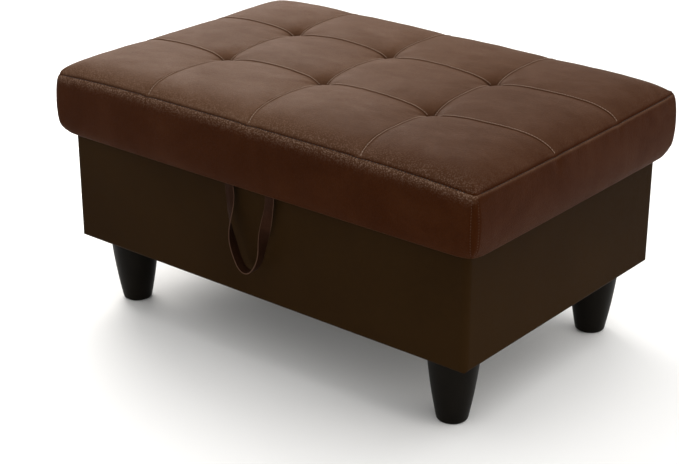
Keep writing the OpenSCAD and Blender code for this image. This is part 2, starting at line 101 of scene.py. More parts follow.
def new_mesh(name, verts, faces, smooth=True):
    me = bpy.data.meshes.new(name)
    me.from_pydata([tuple(map(float, v)) for v in verts], [], faces)
    me.validate()
    me.update()
    if smooth:
        me.polygons.foreach_set("use_smooth", [True] * len(me.polygons))
    ob = bpy.data.objects.new(name, me)
    scene.collection.objects.link(ob)
    return ob


def fix_normals(ob):
    bm = bmesh.new()
    bm.from_mesh(ob.data)
    bmesh.ops.recalc_face_normals(bm, faces=bm.faces)
    bm.to_mesh(ob.data)
    bm.free()
    ob.data.polygons.foreach_set("use_smooth", [True] * len(ob.data.polygons))


def give(ob, mat):
    ob.data.materials.clear()
    ob.data.materials.append(mat)


# ------------------------------------------------------------------ materials
class Mat:
    """A small node-graph builder on the Principled shader."""

    def __init__(self, name):
        self.m = bpy.data.materials.new(name)
        self.m.use_nodes = True
        self.nt = self.m.node_tree
        self.n = self.nt.nodes
        self.bsdf = self.n["Principled BSDF"]
        self.co = self.n.new("ShaderNodeTexCoord").outputs["Object"]

    def set(self, **kw):
        for k, v in kw.items():
            self.bsdf.inputs[k.replace("_", " ")].default_value = v
        return self

    def link(self, a, b):
        self.nt.links.new(a, b)

    def mapping(self, scale=(1, 1, 1), rot=(0, 0, 0)):
        mp = self.n.new("ShaderNodeMapping")
        mp.inputs["Scale"].default_value = scale
        mp.inputs["Rotation"].default_value = rot
        self.link(self.co, mp.inputs["Vector"])
        return mp.outputs["Vector"]

    def noise(self, scale, detail=3, rough=0.5, distort=0.0, vec=None):
        t = self.n.new("ShaderNodeTexNoise")
        t.inputs["Scale"].default_value = scale
        t.inputs["Detail"].default_value = detail
        t.inputs["Roughness"].default_value = rough
        t.inputs["Distortion"].default_value = distort
        self.link(vec or self.co, t.inputs["Vector"])
        return t.outputs["Fac"]

    def voronoi(self, scale, feature="F1", vec=None, randomness=1.0):
        t = self.n.new("ShaderNodeTexVoronoi")
        t.feature = feature
        t.inputs["Scale"].default_value = scale
        t.inputs["Randomness"].default_value = randomness
        self.link(vec or self.co, t.inputs["Vector"])
        return t.outputs["Distance"]

    def ramp(self, fac, stops):
        r = self.n.new("ShaderNodeValToRGB")
        cr = r.color_ramp
        while len(cr.elements) > 1:
            cr.elements.remove(cr.elements[-1])
        cr.elements[0].position = stops[0][0]
        cr.elements[0].color = (*stops[0][1], 1)
        for p, c in stops[1:]:
            el = cr.elements.new(p)
            el.color = (*c, 1)
        self.link(fac, r.inputs["Fac"])
        return r.outputs["Color"]

    def to_range(self, fac, a, b, lo=0.0, hi=1.0):
        r = self.n.new("ShaderNodeMapRange")
        r.inputs["From Min"].default_value = a
        r.inputs["From Max"].default_value = b
        r.inputs["To Min"].default_value = lo
        r.inputs["To Max"].default_value = hi
        self.link(fac, r.inputs["Value"])
        return r.outputs["Result"]

    def mix(self, fac, a, b, blend="MIX"):
        x = self.n.new("ShaderNodeMix")
        x.data_type = "RGBA"
        x.blend_type = blend
        if isinstance(fac, (int, float)):
            x.inputs[0].default_value = fac
        else:
            self.link(fac, x.inputs[0])
        for sock, v in ((x.inputs[6], a), (x.inputs[7], b)):
            if isinstance(v, tuple):
                sock.default_value = (*v, 1)
            else:
                self.link(v, sock)
        return x.outputs[2]

    def math(self, op, a, b):
        x = self.n.new("ShaderNodeMath")
        x.operation = op
        for i, v in enumerate((a, b)):
            if isinstance(v, (int, float)):
                x.inputs[i].default_value = v
            else:
                self.link(v, x.inputs[i])
        return x.outputs[0]

    def bump(self, height, dist, strength=1.0, normal=None):
        b = self.n.new("ShaderNodeBump")
        b.inputs["Distance"].default_value = dist
        b.inputs["Strength"].default_value = strength
        self.link(height, b.inputs["Height"])
        if normal is not None:
            self.link(normal, b.inputs["Normal"])
        return b.outputs["Normal"]

    def out(self, color=None, rough=None, normal=None):
        if color is not None:
            self.link(color, self.bsdf.inputs["Base Color"])
        if rough is not None:
            self.link(rough, self.bsdf.inputs["Roughness"])
        if normal is not None:
            self.link(normal, self.bsdf.inputs["Normal"])
        return self.m


def suede(name, tones, painted_light_tones=None, sheen=0.05, rough=(0.50, 0.64), grain=1.0, spec=0.022):
    """Faux suede: a cloudy nap over a pebbled grain. The second set of tones is mixed in by a mesh attribute: on the
    lid it is painted light, lighter on the top and shoulders than on the sides; on the strap it lightens both rolled
    edges. Its last colour is a painted highlight on the pebbles."""
    m = Mat(name)
    m.set(Specular_IOR_Level=spec, Sheen_Weight=sheen, Sheen_Roughness=0.35,
          Sheen_Tint=(1.0, 0.66, 0.46, 1), Specular_Tint=(1.0, 0.80, 0.66, 1))
    # the nap: cloudy patches where it was brushed one way or the other, with streaks
    cloud = m.noise(7.5, 5, 0.62, 0.9)
    streak = m.noise(16, 4, 0.6, 0.4, m.mapping((0.7, 2.2, 0.7), (0, 0, math.radians(28))))
    fine = m.noise(260, 3, 0.6)
    nap_and_painted_light = m.math("ADD", m.math("MULTIPLY", cloud, 0.65), m.math("MULTIPLY", streak, 0.35))
    patch = m.to_range(nap_and_painted_light, 0.28, 0.72)
    col = m.ramp(patch, [(0.0, tones[0]), (0.5, tones[1]), (1.0, tones[2])])
    # lighter tones mixed in by the mesh attribute: painted light on the lid, the rolled edges on the strap
    if painted_light_tones:
        at = m.n.new("ShaderNodeAttribute")
        at.attribute_name = "nap_and_painted_light"
        painted_light_col = m.ramp(patch, [(0.0, painted_light_tones[0]), (0.5, painted_light_tones[1]), (1.0, painted_light_tones[2])])
        mixed = m.math("ADD", at.outputs["Fac"], m.math("MULTIPLY", m.math("SUBTRACT", m.noise(55, 4, 0.65), 0.5), 0.30))
        col = m.mix(m.to_range(mixed, 0.10, 1.16), col, painted_light_col)
        # painted highlight: lighter pebble by pebble along the lid's front edge and the shoulder under its seam
        painted_highlight = m.n.new("ShaderNodeAttribute")
        painted_highlight.attribute_name = "painted_highlight"
        specks = m.to_range(m.math("ADD", m.voronoi(400), m.math("MULTIPLY", m.noise(180, 3, 0.6), 0.5)), 0.42, 0.78, 1.0, 0.0)
        col = m.mix(m.math("MULTIPLY", painted_highlight.outputs["Fac"], specks), col, painted_light_tones[3])
    col = m.mix(m.to_range(fine, 0.30, 0.70, 0.0, 0.16), col, (0.30, 0.20, 0.14), "SOFT_LIGHT")
    # pebbled grain, about a millimetre across, with fibres between
    peb = m.voronoi(430)
    peb2 = m.voronoi(980)
    fib = m.noise(2600, 2, 0.6)
    grain_h = m.math("ADD", m.math("MULTIPLY", peb, 0.6), m.math("MULTIPLY", peb2, 0.4))
    col = m.mix(m.to_range(peb, 0.05, 0.75, 0.0, 0.35), col, (0.55, 0.50, 0.46), "MULTIPLY")
    n1 = m.bump(nap_and_painted_light, 0.0006, 0.22)
    n2 = m.bump(grain_h, 0.00060 * grain, 0.8, n1)
    n3 = m.bump(fib, 0.00005, 0.5, n2)
    r = m.to_range(nap_and_painted_light, 0.28, 0.72, rough[1], rough[0])
    return m.out(col, r, n3)


def faux_leather(name, dark, light):
    m = Mat(name)
    m.set(Specular_IOR_Level=0.012)
    big = m.noise(3.2, 3, 0.5, 0.3)
    small = m.noise(90, 4, 0.6)
    col = m.ramp(m.to_range(m.math("ADD", m.math("MULTIPLY", big, 0.75), m.math("MULTIPLY", small, 0.25)), 0.38, 0.62),
                 [(0.0, dark), (1.0, light)])
    cells = m.voronoi(620, "DISTANCE_TO_EDGE")
    wr = m.noise(380, 4, 0.65)
    ripple = m.noise(11, 2, 0.5, 0.4)
    n1 = m.bump(ripple, 0.0012, 0.35)
    n2 = m.bump(m.to_range(cells, 0.0, 0.12), 0.00009, 0.6, n1)
    n3 = m.bump(wr, 0.00007, 0.5, n2)
    r = m.to_range(small, 0.3, 0.7, 0.50, 0.62)
    return m.out(col, r, n3)


def weave(name, dark, light, pitch=0.0012, rough=0.85, sheen=0.15, depth=0.0002):
    m = Mat(name)
    m.set(Specular_IOR_Level=0.2, Sheen_Weight=sheen)
    hs = []
    for ax in ((1, 0, 0), (0, 1, 0), (0, 0, 1)):
        w = m.n.new("ShaderNodeTexWave")
        w.wave_type = "BANDS"
        w.bands_direction = "XYZ"[ax.index(1)]
        w.inputs["Scale"].default_value = 0.314 / pitch / 1.0
        w.inputs["Distortion"].default_value = 0.6
        w.inputs["Detail"].default_value = 1.0
        m.link(m.co, w.inputs["Vector"])
        hs.append(w.outputs["Fac"])
    h = m.math("MAXIMUM", m.math("MAXIMUM", hs[0], hs[1]), hs[2])
    spots = m.noise(45, 4, 0.6)
    col = m.ramp(m.to_range(spots, 0.3, 0.7), [(0.0, dark), (1.0, light)])
    col = m.mix(m.to_range(h, 0.5, 1.0, 0.35, 0.0), col, dark)
    n1 = m.bump(h, depth, 0.7)
    n2 = m.bump(m.noise(700, 3, 0.6), 0.0001, 0.4, n1)
    return m.out(col, m.to_range(spots, 0.2, 0.8, rough - 0.06, rough + 0.06), n2)


def moulded(name, dark, light, rough=(0.32, 0.45), spec=0.45):
    m = Mat(name)
    m.set(Specular_IOR_Level=spec)
    sp = m.noise(24, 4, 0.6)
    fine = m.noise(900, 3, 0.55)
    col = m.ramp(m.to_range(sp, 0.3, 0.7), [(0.0, dark), (1.0, light)])
    n = m.bump(fine, 0.00006, 0.5, m.bump(m.noise(18, 2), 0.0005, 0.25))
    return m.out(col, m.to_range(sp, 0.3, 0.7, rough[0], rough[1]), n)


def plywood(name):
    m = Mat(name)
    m.set(Specular_IOR_Level=0.25)
    vec = m.mapping((1.6, 14, 14))
    g = m.noise(5.5, 6, 0.62, 1.6, vec)
    fine = m.noise(60, 4, 0.6, 0.5, vec)
    col = m.ramp(m.to_range(g, 0.3, 0.7), [(0, (0.30, 0.18, 0.085)), (0.5, (0.47, 0.31, 0.165)), (1, (0.60, 0.43, 0.25))])
    ply = m.n.new("ShaderNodeTexWave")
    ply.bands_direction = "Z"
    ply.inputs["Scale"].default_value = 105
    ply.inputs["Distortion"].default_value = 0.4
    m.link(m.co, ply.inputs["Vector"])
    col = m.mix(m.to_range(ply.outputs["Fac"], 0.2, 0.9, 0.18, 0.0), col, (0.22, 0.12, 0.05))
    return m.out(col, m.to_range(fine, 0.3, 0.7, 0.55, 0.75), m.bump(fine, 0.0002, 0.5))


def metal(name, color, rough=(0.26, 0.42)):
    m = Mat(name)
    m.set(Metallic=1.0)
    vec = m.mapping((30, 1, 1))
    sc = m.noise(70, 5, 0.7, 0.2, vec)
    spots = m.noise(40, 3)
    col = m.ramp(m.to_range(spots, 0.3, 0.7), [(0, tuple(c * 0.82 for c in color)), (1, color)])
    return m.out(col, m.to_range(sc, 0.25, 0.75, rough[0], rough[1]), m.bump(sc, 0.00005, 0.4))


def foam_mat(name, color):
    m = Mat(name)
    m.set(Specular_IOR_Level=0.15)
    v = m.voronoi(520)
    sp = m.noise(30, 4)
    col = m.ramp(m.to_range(sp, 0.3, 0.7), [(0, tuple(c * 0.85 for c in color)), (1, color)])
    return m.out(col, m.to_range(sp, 0.3, 0.7, 0.85, 0.95), m.bump(v, 0.0004, 0.6))


# lid: the first tones are the sides; the lighter second tones are painted light on the top and shoulders, and the last
# of them is a painted highlight on the pebbles
LID = suede("lid_suede", ((0.0260, 0.0062, 0.0009), (0.0322, 0.0080, 0.0013), (0.0415, 0.0118, 0.0026)),
            ((0.078, 0.0385, 0.0208), (0.092, 0.0470, 0.0262), (0.113, 0.0610, 0.0370), (0.30, 0.205, 0.155)))
STRAP = suede("strap_suede", ((0.0110, 0.0042, 0.0020), (0.0200, 0.0078, 0.0040), (0.0360, 0.0150, 0.0085)),
              ((0.075, 0.040, 0.027), (0.100, 0.056, 0.038), (0.130, 0.078, 0.055), (0.2, 0.13, 0.1)), sheen=0.03, grain=1.3)
BASE = faux_leather("base_faux_leather", (0.0160, 0.0074, 0.0020), (0.0212, 0.0101, 0.0029))
THREAD = weave("thread", (0.006, 0.002, 0.001), (0.014, 0.006, 0.003), 0.0006, 0.8, 0.1, 0.0001)
# top-seam thread, painted lighter than the cover: a painted highlight along the seam ridges
THREAD_TOP = weave("thread_top", (0.190, 0.120, 0.085), (0.260, 0.175, 0.125), 0.0006, 0.75, 0.1, 0.0001)
THREAD_SIDE = weave("thread_side", (0.050, 0.018, 0.008), (0.085, 0.034, 0.017), 0.0006, 0.75, 0.1, 0.0001)
LEG = moulded("leg_plastic", (0.0042, 0.0033, 0.0022), (0.0066, 0.0052, 0.0036), (0.36, 0.48), 0.04)
LINER = weave("liner_cloth", (0.020, 0.0155, 0.012), (0.040, 0.031, 0.025), 0.0016)
DUST = weave("dust_cloth", (0.006, 0.006, 0.006), (0.014, 0.0135, 0.013), 0.0022)
WOOD = plywood("plywood")
STEEL = metal("zinc_steel", (0.60, 0.60, 0.61))
KNOB = moulded("knob_plastic", (0.010, 0.010, 0.010), (0.018, 0.018, 0.018))
RUBBER = moulded("bumper_rubber", (0.012, 0.012, 0.012), (0.022, 0.022, 0.022), (0.65, 0.8), 0.25)
FOAM = foam_mat("foam", (0.78, 0.68, 0.42))
FIBRE = foam_mat("fibre", (0.85, 0.85, 0.82))

NODE_MATS = {
    "leg_bolts": STEEL, "leg_tnuts": STEEL,
    "base_front_panel": WOOD, "base_rear_panel": WOOD, "base_left_panel": WOOD,
    "base_right_panel": WOOD, "bottom_panel": WOOD, "lid_board": WOOD,
    "storage_liner": LINER, "dust_cover": DUST, "dust_cover_staples": STEEL,
    "rim_bumpers": RUBBER, "hinge_box_leaves": STEEL, "hinge_pins": STEEL,
    "hinge_box_screws": STEEL, "stay_box_bracket_left": STEEL,
    "stay_box_bracket_right": STEEL, "stay_box_screws": STEEL, "stay_knobs": KNOB,
    "lid_lining": DUST, "lid_lining_staples": STEEL, "tuft_ties": THREAD,
    "tuft_washers": STEEL, "hinge_lid_leaves": STEEL, "hinge_lid_screws": STEEL,
    "stay_lid_ear_left": STEEL, "stay_lid_ear_right": STEEL, "stay_ear_screws": STEEL,
    "stay_rivets": STEEL, "loop_anchor_tabs": STRAP, "stay_arm_left": STEEL,
    "stay_arm_right": STEEL, "base_cover": BASE, "lid_foam": FOAM, "lid_fibre_wrap": FIBRE,
}
for name, mat in NODE_MATS.items():
    give(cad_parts[name], mat)


# ------------------------------------------------------------------ the tufted lid
SEAM_IN = 0.0025      # how far the top seam lies inside the widest part of the lid
HX, HY = LX - SEAM_IN, LY - SEAM_IN
CR = 0.0065           # corner radius of the top seam
# the tufts and the seams through them, which don't run quite true on the real lid
SEAM_X = [((-0.2871, -0.093, 0.094, 0.2871), (-0.2210, -0.2215, -0.2250, -0.2220)),
          ((-0.2871, -0.090, 0.096, 0.2871), (0.0010, -0.0080, -0.0130, -0.0060)),
          ((-0.2871, -0.098, 0.089, 0.2871), (0.2263, 0.2205, 0.2110, 0.2140))]
SEAM_Y = [((-0.4391, -0.2215, -0.008, 0.2205, 0.4391), (-0.091, -0.093, -0.090, -0.098, -0.078)),
          ((-0.4391, -0.2250, -0.013, 0.2110, 0.4391), (0.090, 0.094, 0.096, 0.089, 0.103))]
CURVE_X = [np.polyfit(t, v, 3) for t, v in SEAM_X]
CURVE_Y = [np.polyfit(t, v, 4) for t, v in SEAM_Y]
TUFTS = [(-0.2215, -0.093), (-0.008, -0.090), (0.2205, -0.098),
         (-0.225, 0.094), (-0.013, 0.096), (0.211, 0.089)]


def hat(u, knots, i, end):
    """1 at knots[i], falling in straight lines to 0 at the next knots and at both ends."""
    k = [-end, *knots, end]
    return np.interp(u, [k[i], k[i + 1], k[i + 2]], [0, 1, 0], left=0, right=0)


def place(u, v):
    """Plan position of the cover at the regular coordinates u, v, in which the seams are straight."""
    x, y = u.astype(float).copy(), v.astype(float).copy()
    for i, c in enumerate(CURVE_X):
        x = x + (np.polyval(c, v) - TX[i]) * hat(u, TX, i, HX)
    for j, c in enumerate(CURVE_Y):
        y = y + (np.polyval(c, u) - TY[j]) * hat(v, TY, j, HY)
    return x, y


def corners(u, v, hx, hy, r):
    """Rectangle to rounded rectangle, changing only the corners."""
    au, av = np.abs(u), np.abs(v)
    a, b = np.clip((au - (hx - r)) / r, 0, 1), np.clip((av - (hy - r)) / r, 0, 1)
    m = (a > 0) & (b > 0)
    x = np.where(m, (hx - r) + r * a * np.sqrt(1 - b * b / 2), au)
    y = np.where(m, (hy - r) + r * b * np.sqrt(1 - a * a / 2), av)
    return np.sign(u) * x, np.sign(v) * y


def seam_base(x, y):
    """Height of the edge seam, carried over the whole plan."""
    U, V = np.clip(x / HX, -1, 1), np.clip(y / HY, -1, 1)
    return (0.4336 - 0.0080 * np.abs(U) ** 5 - 0.0020 * (V + 1) / 2
            + 0.0068 * np.clip(U, 0, 1) ** 8 * ((V + 1) / 2) ** 2.2
            - 0.0015 * np.clip(-U, 0, 1) ** 4 * np.exp(-((y - 0.06) / 0.13) ** 2))


def edge_distance(x, y):
    ax, ay = HX - np.abs(x), HY - np.abs(y)
    qx, qy = np.maximum(CR - ax, 0), np.maximum(CR - ay, 0)
    d = np.where((ax < CR) & (ay < CR), CR - np.hypot(qx, qy), np.minimum(ax, ay))
    # near a corner both edges pull the cover down
    soft = 1.0 / np.sqrt(np.sqrt((1 / np.maximum(ax, 1e-5)) ** 4 + (1 / np.maximum(ay, 1e-5)) ** 4))
    return np.maximum(np.minimum(d, soft), 0)


def crown(d):
    return 0.0258 * (1 - np.exp(-d / 0.026)) + 0.0037 * (1 - np.exp(-d / 0.0032))


def groove(s, depth=0.0007):
    """Cross section of a seam: a narrow groove with a raised allowance on its + side."""
    return (-depth * np.exp(-(s / 0.0008) ** 2)
            + 0.0009 * np.exp(-((s - 0.0026) / 0.0013) ** 2)
            + 0.0002 * np.exp(-((s + 0.0030) / 0.0020) ** 2))


def top_z(u, v):
    u, v = np.asarray(u, float), np.asarray(v, float)
    x, y = corners(*place(u, v), HX, HY, CR)
    d = edge_distance(x, y)
    z = seam_base(x, y) + crown(d)
    # how far the tufts pull the cover down: less on the diagonals than along the seams
    total = 0
    for k, (tx, ty) in enumerate(TUFTS):
        dx, dy = x - tx, y - ty
        r = np.hypot(dx, dy)
        a = np.arctan2(dy, dx)
        dip = 0.0205 / (1 + (r / 0.025) ** 1.32)
        dip = dip * (1 - 0.24 * (1 - np.exp(-(r / 0.014) ** 2)) * np.sin(2 * a) ** 2)
        total = total + dip ** 2.6
        fold = (np.cos(9 * a + 1.3 * k + 0.9 * np.sin(2 * a + k)) * 0.55
                + np.cos(14 * a - 0.7 * k + 0.7 * np.sin(3 * a)) * 0.45)
        z = z + 0.0019 * fold * np.exp(-r / 0.015) * (1 - np.exp(-(r / 0.005) ** 2))
        z = z - 0.0056 * np.exp(-(r / 0.0075) ** 1.3)
    z = z - total ** (1 / 2.6) * (1 - np.exp(-d / 0.02))
    # the puffs stand above the seams
    fade = np.clip(d / 0.010, 0, 1)
    fade = fade * fade * (3 - 2 * fade)
    near = np.minimum.reduce([np.hypot(x - a, y - b) for a, b in TUFTS])
    depth = 0.0030 + 0.0022 * np.exp(-near / 0.045)
    valley = 1.0
    for i, t in enumerate(TX):
        valley = valley * (1 - np.exp(-np.abs(u - t) / 0.020))
    for j, t in enumerate(TY):
        valley = valley * (1 - np.exp(-np.abs(v - t) / 0.020))
    z = z + depth * (valley - 0.15) * (1 - np.exp(-d / 0.015))
    for i, t in enumerate(TX):
        s = u - t
        z = z + groove(s) * (0.3 + 0.7 * fade)
        z = z + 0.00034 * np.exp(-np.abs(s) / 0.008) * lattice_noise(v, s * 0.25, 0.0070, 11 + i) * fade
        z = z - 0.0016 * np.exp(-(s / 0.010) ** 2) * np.exp(-d / 0.020)
    for j, t in enumerate(TY):
        s = v - t
        z = z + groove(s) * (0.3 + 0.7 * fade)
        z = z + 0.00034 * np.exp(-np.abs(s) / 0.008) * lattice_noise(u, s * 0.25, 0.0070, 21 + j) * fade
        z = z - 0.0016 * np.exp(-(s / 0.010) ** 2) * np.exp(-d / 0.020)
    # slack in the cover: broad soft waves and a few longer drag lines, and small
    # gathers along the edge seam
    z = z + 0.00070 * lattice_noise(x, y, 0.055, 3, 2) * fade
    p, q = x * 0.83 + y * 0.56, -x * 0.56 + y * 0.83
    z = z + 0.00022 * lattice_noise(p * 0.35, q, 0.014, 5, 2) * fade
    along = np.where(HX - np.abs(x) < HY - np.abs(y), y, x)
    z = z + 0.00045 * lattice_noise(along, d * 0.2, 0.009, 8) * np.exp(-d / 0.008) * np.clip(d / 0.002, 0, 1)
    z = z - 0.0015 * np.exp(-(d / 0.0016) ** 2)
    for cx, cy, deep, wide in ((-HX, HY, 0.0055, 0.055), (HX, HY, 0.0040, 0.050)):
        z = z - deep * np.exp(-((x - cx) ** 2 + (y - cy) ** 2) / wide ** 2) * np.clip(d / 0.006, 0, 1)
    return z


def lines(hi, step, seams):
    """Grid lines from -hi to hi: a plain step, closer at the seams and at both ends."""
    near = [0.0, 0.0006, 0.0012, 0.0019, 0.0027, 0.0036, 0.0047, 0.0062, 0.0082, 0.0110]
    got = set()
    for t in seams:
        for q in near:
            got.update((round(t + q, 6), round(t - q, 6)))
    for q in (0.0, 0.0007, 0.0015, 0.0024, 0.0034, 0.0046, 0.0060, 0.0078, 0.0100, 0.0128, 0.0162):
        got.update((round(-hi + q, 6), round(hi - q, 6)))
    n = int(round(2 * hi / step))
    for k in range(n + 1):
        p = -hi + 2 * hi * k / n
        if min(abs(p - g) for g in got) > 0.55 * step:
            got.add(round(p, 6))
    return np.array(sorted(got))


# outside of the band: (outwards from the seam, part of the way down to the lower edge); it
# starts in the crease, rises over the welt of the seam allowance and goes down the side
BAND = [(0.0002, -0.002), (0.0006, -0.006), (0.0012, -0.0095), (0.0020, -0.0105), (0.0028, -0.0085), (0.0034, -0.003),
        (0.0038, 0.008), (0.0041, 0.024), (0.0044, 0.045), (0.0047, 0.070), (0.0049, 0.100),
        (0.0051, 0.140), (0.0053, 0.190), (0.0055, 0.250), (0.0057, 0.320), (0.0059, 0.400), (0.0060, 0.480),
        (0.0060, 0.560), (0.0058, 0.640), (0.0055, 0.710), (0.0051, 0.775), (0.0045, 0.830), (0.0038, 0.878),
        (0.0029, 0.918), (0.0018, 0.950), (0.0008, 0.974), (-0.0003, 0.990), (-0.0014, 1.000)]
# inside of its lower edge and the part turned in under the board: (outwards from the seam, height)
TURN = [(-0.0017, 0.0006), (-0.0018, 0.0018), (-0.0018, None), (-0.0022, 0.32815), (-0.0034, 0.32830),
        (-0.0090, 0.32840), (-0.0220, 0.32840), (-0.0380, 0.32850)]


def build_lid(step):
    us, vs = lines(HX, step, TX), lines(HY, step, TY)
    U, V = np.meshgrid(us, vs, indexing="ij")
    Z = top_z(U, V)
    X, Y = corners(*place(U, V), HX, HY, CR)
    nu, nv = len(us), len(vs)
    verts = [np.stack([X.ravel(), Y.ravel(), Z.ravel()], 1)]
    idx = np.arange(nu * nv).reshape(nu, nv)
    faces = [(idx[i, j], idx[i + 1, j], idx[i + 1, j + 1], idx[i, j + 1])
             for i in range(nu - 1) for j in range(nv - 1)]
    # boundary loop, anticlockwise seen from above
    loop = ([(i, 0) for i in range(nu - 1)] + [(nu - 1, j) for j in range(nv - 1)]
            + [(i, nv - 1) for i in range(nu - 1, 0, -1)] + [(0, j) for j in range(nv - 1, 0, -1)])
    ring = np.array([idx[a] for a in loop])
    UV = np.array([(us[i], vs[j]) for i, j in loop])
    P = verts[0][ring]
    n = len(ring)
    bx, by = np.clip(P[:, 0], -(HX - CR), HX - CR), np.clip(P[:, 1], -(HY - CR), HY - CR)
    N = np.stack([P[:, 0] - bx, P[:, 1] - by], 1)
    N = N / np.linalg.norm(N, axis=1)[:, None]
    S = np.concatenate([[0], np.cumsum(np.linalg.norm(np.diff(P[:, :2], axis=0), axis=1))])
    total = S[-1] + np.linalg.norm(P[0, :2] - P[-1, :2])
    arc = np.full(n, 9.0)
    for sx in (-1, 1):
        for sy in (-1, 1):
            k = np.argmin(np.hypot(P[:, 0] - sx * HX, P[:, 1] - sy * HY))
            q = np.abs(S - S[k])
            arc = np.minimum(arc, np.minimum(q, total - q))
    mid = 1 - np.exp(-arc / 0.12)
    rear = np.clip((P[:, 1] - (HY - 0.012)) / 0.010, 0, 1)
    # the lower edge hangs a little below the board, more between the corners
    low = 0.3283 - (0.0052 + 0.0010 * mid) * (1 - rear)
    zs = P[:, 2]
    phase = 2 * math.pi * S / total
    sx, sy = np.cos(phase) * total / (2 * math.pi), np.sin(phase) * total / (2 * math.pi)
    ends = np.zeros(n)
    for i, t in enumerate(TX):
        ends += np.exp(-((UV[:, 0] - t) / 0.009) ** 2) * (np.abs(UV[:, 1]) > HY - 1e-6)
    for j, t in enumerate(TY):
        ends += np.exp(-((UV[:, 1] - t) / 0.009) ** 2) * (np.abs(UV[:, 0]) > HX - 1e-6)
    rings = []
    long_side = np.abs(N[:, 1]) * mid
    for o, f in BAND:
        z = zs + (low - zs) * f
        out = np.full(n, o)
        g = max(0.0, f)
        body = max(0.0, math.sin(math.pi * min(1.0, g / 0.96)))
        out += (0.0006 * mid + 0.0024 * np.abs(N[:, 0])) * body
        # the front and rear shoulders are rounder than those at the two ends
        out -= 0.0022 * long_side * math.exp(-(g / 0.085) ** 1.4) * (1 if f > -0.003 else 0.6)
        out += 0.00060 * body * lattice_noise(sx, sy + g * 0.05, 0.050, 31, 2)
        out += 0.00045 * math.exp(-g / 0.10) * min(1, g / 0.02) * lattice_noise(sx, sy, 0.0080, 33)
        out += 0.00035 * math.exp(-(1 - g) / 0.06) * lattice_noise(sx, sy, 0.018, 35) * (1 if f < 0.985 else 0)
        out -= 0.0010 * ends * math.exp(-g / 0.12)
        out -= 0.0026 * np.exp(-(arc / 0.022) ** 2) * math.exp(-g / 0.09)
        # the lower corners are rounded off
        out -= 0.0070 * np.exp(-(arc / 0.016) ** 2) * max(0.0, (g - 0.80) / 0.20) ** 2
        if f < 0.5:
            out = np.maximum(out, 0.0001)
        # upright seam at the corner: two rows with a flat ridge between them
        if 0.01 < f < 0.97:
            out -= 0.0008 * (np.exp(-((arc - 0.0027) / 0.0009) ** 2)) * min(1, (f - 0.01) * 30)
        rings.append((out, z))
    for o, a in TURN:
        z = low + a if a is not None and a < 0.1 else np.full(n, a if a else 0.3268)
        if a is not None and a < 0.1:
            z = np.minimum(z, 0.3280 + a * 0.1)
        z = np.maximum(z, low + 0.0001)
        rings.append((o - 0.0070 * np.exp(-(arc / 0.016) ** 2), z))
    last, count = ring, nu * nv
    # painted light and shade: the top and its shoulders are painted lighter than the sides; painted shade darkens the
    # right half of the top, the edges where it rolls down, the tufts and the crease at the edge seam, and painted light
    # brightens the front left of the top
    tx, ty, td = X.ravel(), Y.ravel(), edge_distance(X, Y).ravel()
    tuft = np.minimum.reduce([np.hypot(tx - a, ty - b) for a, b in TUFTS])
    right, left = np.clip((tx - 0.02) / 0.36, 0, 1), np.clip((0.20 - tx) / 0.30, 0, 1)
    fore = np.clip((-ty - 0.06) / 0.14, 0, 1)
    roll_shade = np.exp(-(HX - tx) / 0.014) * 0.30 + np.exp(-(HX + tx) / 0.010) * 0.10 + np.exp(-(HY - ty) / 0.010) * 0.10
    nap_and_painted_light = [(1 - roll_shade - 0.42 * right ** 1.5 * (3 - 2 * right) ** 0.5 / 1.0 + 0.26 * fore * left - 0.60 * np.exp(-(tuft / 0.0095) ** 2))
           * (1 - 0.95 * np.exp(-(td / 0.0016) ** 2))]
    # painted highlight along the front edge of the top, a little along its other edges
    front_edge = np.exp(-(ty + HY) / 0.016)
    painted_highlight = [(0.26 * front_edge + 0.10 * np.exp(-td / 0.012)) * (1 - np.exp(-(td / 0.002) ** 2))]
    # on the bands: painted light on the shoulder under the seam, widest and brightest on the front band, a little more
    # on the right band; painted highlight on the front band's shoulder
    front = np.clip(-N[:, 1], 0, 1)
    toward = 0.70 + 0.28 * front
    for k in range(len(rings)):
        g = max(0.0, BAND[k][1]) if k < len(BAND) else 1.0
        nap_and_painted_light.append(toward * np.exp(-(g / (0.016 + 0.062 * front)) ** 1.2) * (1 if k > 0 else 0.1)
                   + 0.07 * (N[:, 0] > 0.5))
        painted_highlight.append((0.10 + 0.55 * front) * np.exp(-(g / (0.02 + 0.058 * front)) ** 1.4) * (1 if k > 1 else 0))
    for out, z in rings:
        reach = HX + out, HY + out
        r = np.maximum(CR + out, 0.0020)
        flat = (np.abs(N[:, 0]) < 1e-9) | (np.abs(N[:, 1]) < 1e-9)
        cx = np.where(N[:, 0] == 0, np.clip(P[:, 0], -(reach[0] - r), reach[0] - r), np.sign(N[:, 0]) * (reach[0] - r))
        cy = np.where(N[:, 1] == 0, np.clip(P[:, 1], -(reach[1] - r), reach[1] - r), np.sign(N[:, 1]) * (reach[1] - r))
        x = np.where(np.abs(N[:, 0]) < 1e-9, np.clip(P[:, 0], -(reach[0] - r), reach[0] - r), cx + N[:, 0] * r)
        y = np.where(np.abs(N[:, 1]) < 1e-9, np.clip(P[:, 1], -(reach[1] - r), reach[1] - r), cy + N[:, 1] * r)
        verts.append(np.stack([x, y, z], 1))
        cur = np.arange(count, count + n)
        count += n
        faces += [(last[i], cur[i], cur[(i + 1) % n], last[(i + 1) % n]) for i in range(n)]
        last = cur
    faces.append(tuple(int(q) for q in last[::-1]))
    ob = new_mesh("lid_upholstery", np.concatenate(verts), [tuple(int(q) for q in f) for f in faces])
    fix_normals(ob)
    ob.data.attributes.new("nap_and_painted_light", "FLOAT", "POINT").data.foreach_set("value", np.concatenate(nap_and_painted_light).astype(np.float32))
